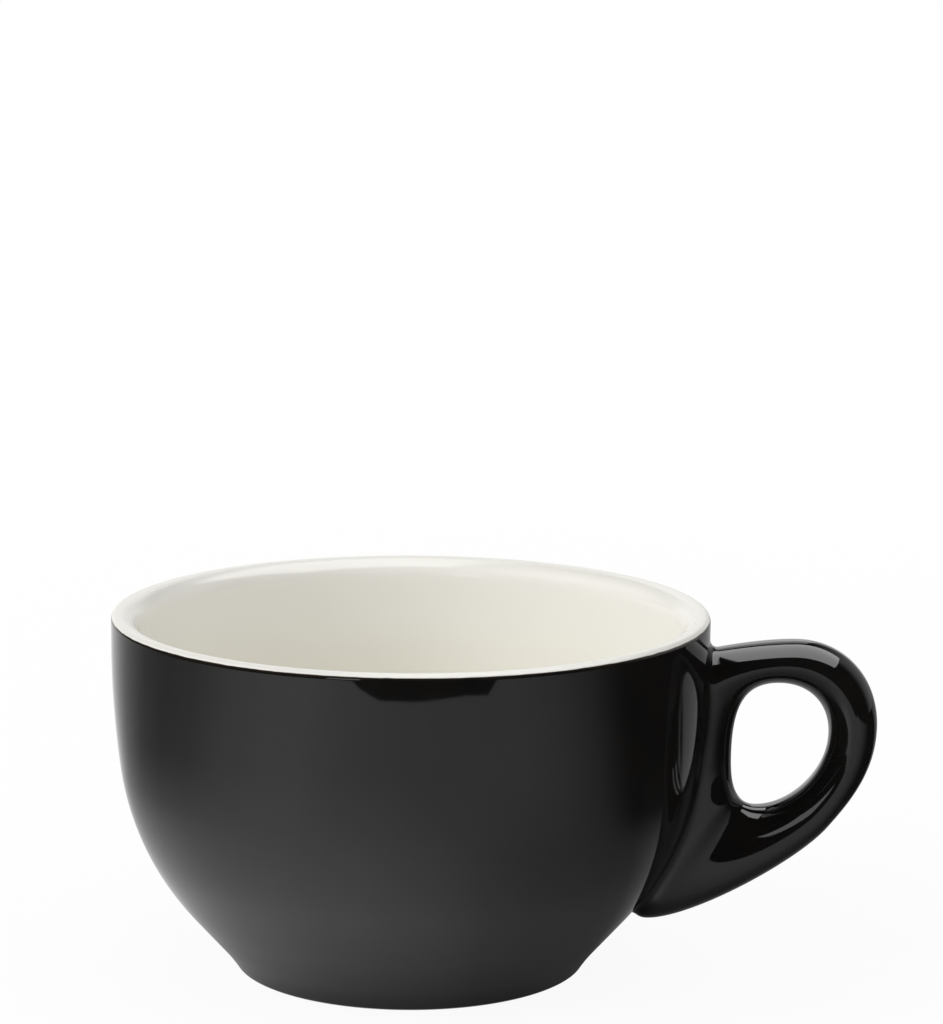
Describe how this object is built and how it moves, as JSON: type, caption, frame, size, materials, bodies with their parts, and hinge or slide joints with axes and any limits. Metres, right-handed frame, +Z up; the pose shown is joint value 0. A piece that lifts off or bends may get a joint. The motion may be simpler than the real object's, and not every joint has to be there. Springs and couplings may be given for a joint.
{
  "type": "latte cup",
  "caption": "Round porcelain latte cup on a foot ring, gloss black outside and ivory inside, with a closed ear handle, for holding and drinking a hot milk coffee.",
  "frame": {"origin": "on the bowl's axis, on the table that the foot ring stands on", "axes": "+Z up along the bowl's axis, +X towards the handle, +Y away from a viewer who sees the handle on the right"},
  "size_m": [0.1273, 0.0994, 0.06],
  "materials": {
    "porcelain": "bare fired porcelain, fine matt grain",
    "slip": "fired slip, matt",
    "ivory_glaze": "gloss ivory glaze",
    "black_glaze": "gloss black glaze"
  },
  "bodies": {
    "root": {"cup_body": "porcelain", "handle": "porcelain", "handle_slip": "slip", "inner_glaze": "ivory_glaze", "outer_glaze": "black_glaze", "handle_glaze": "black_glaze", "base_glaze": "black_glaze"}
  },
  "joints": []
}
